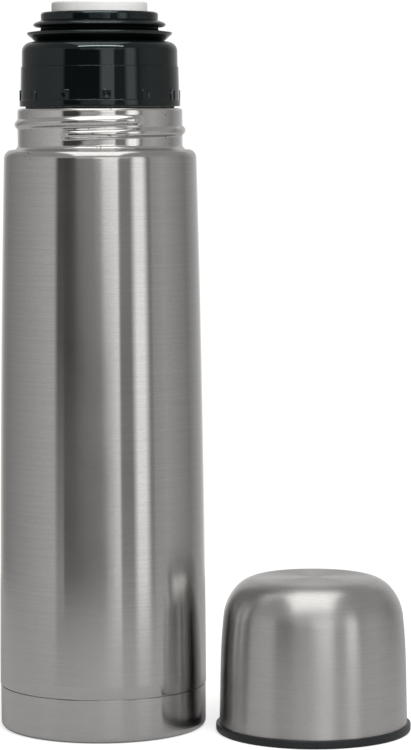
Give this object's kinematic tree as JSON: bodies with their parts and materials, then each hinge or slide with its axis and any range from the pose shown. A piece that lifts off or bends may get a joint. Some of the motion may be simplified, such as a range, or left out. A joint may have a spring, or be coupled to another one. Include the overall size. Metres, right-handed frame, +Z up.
{
  "type": "vacuum flask",
  "caption": "Tall steel vacuum flask with a screw-in push-button pouring stopper and a domed steel drinking cup standing beside it.",
  "frame": {"origin": "centre of the flask's foot, on the surface it stands on", "axes": "+Z up the flask's axis; the cup stands on the +X side, slightly towards -Y"},
  "size_m": [0.1668, 0.0954, 0.294],
  "materials": {
    "body_steel": "brushed round the body, polished on the neck",
    "base_steel": "brushed round the foot",
    "inner_steel": "drawn and electropolished",
    "cup_steel": "brushed round, spun rings on the end",
    "solder_glass": "glossy",
    "getter_metal": "sintered matt",
    "foil": "bright crinkled",
    "stopper_black": "high gloss moulded",
    "plug_black": "satin moulded",
    "lip_rubber": "satin",
    "seal_rubber": "matt translucent",
    "button_white": "satin moulded",
    "valve_plastic": "satin moulded",
    "foam": "closed-cell foam",
    "spring_steel": "bright drawn wire",
    "cup_plastic": "satin moulded"
  },
  "bodies": {
    "flask": {"outer_shell": "body_steel", "base_cup": "base_steel", "vacuum_base_plate": "inner_steel", "vacuum_seal_bead": "solder_glass", "getter_pill": "getter_metal", "inner_bottle": "inner_steel", "inner_bottle_bottom": "inner_steel", "reflective_foil": "foil"},
    "stopper_seal": {"stopper_gasket": "seal_rubber"},
    "stopper": {"plug_body": "plug_black", "plug_base": "plug_black", "plug_insulation": "foam", "collar_ring": "stopper_black", "collar_cap": "stopper_black", "pour_lip_seal": "lip_rubber", "button_bezel": "stopper_black", "return_spring": "spring_steel"},
    "button": {"push_button": "button_white", "valve_stem": "valve_plastic", "valve_disc": "valve_plastic", "valve_seal": "seal_rubber"},
    "cup": {"cup_shell": "cup_steel", "cup_liner": "cup_plastic"}
  },
  "joints": [
    {"name": "stopper_rise", "type": "slide", "parent": "flask", "child": "stopper_seal", "axis": [0, 0, 1], "range_m": [0, 0.03002]},
    {"name": "stopper_turn", "type": "hinge", "parent": "stopper_seal", "child": "stopper", "pos_m": [0, 0, 0.2524], "axis": [0, 0, 1], "range_deg": [0, 1080]},
    {"name": "button_press", "type": "slide", "parent": "stopper", "child": "button", "axis": [0, 0, -1], "range_m": [0, 0.003], "stiffness_N_per_m": 600, "springref_m": -0.004, "deforming": ["return_spring"]},
    {"name": "cup_lift", "type": "slide", "parent": "flask", "child": "cup", "axis": [0, 0, 1], "range_m": [0, 0.3]}
  ],
  "couplings": [
    {"joint": "stopper_rise", "follows": "stopper_turn", "m_per_rad": 0.0015915}
  ]
}
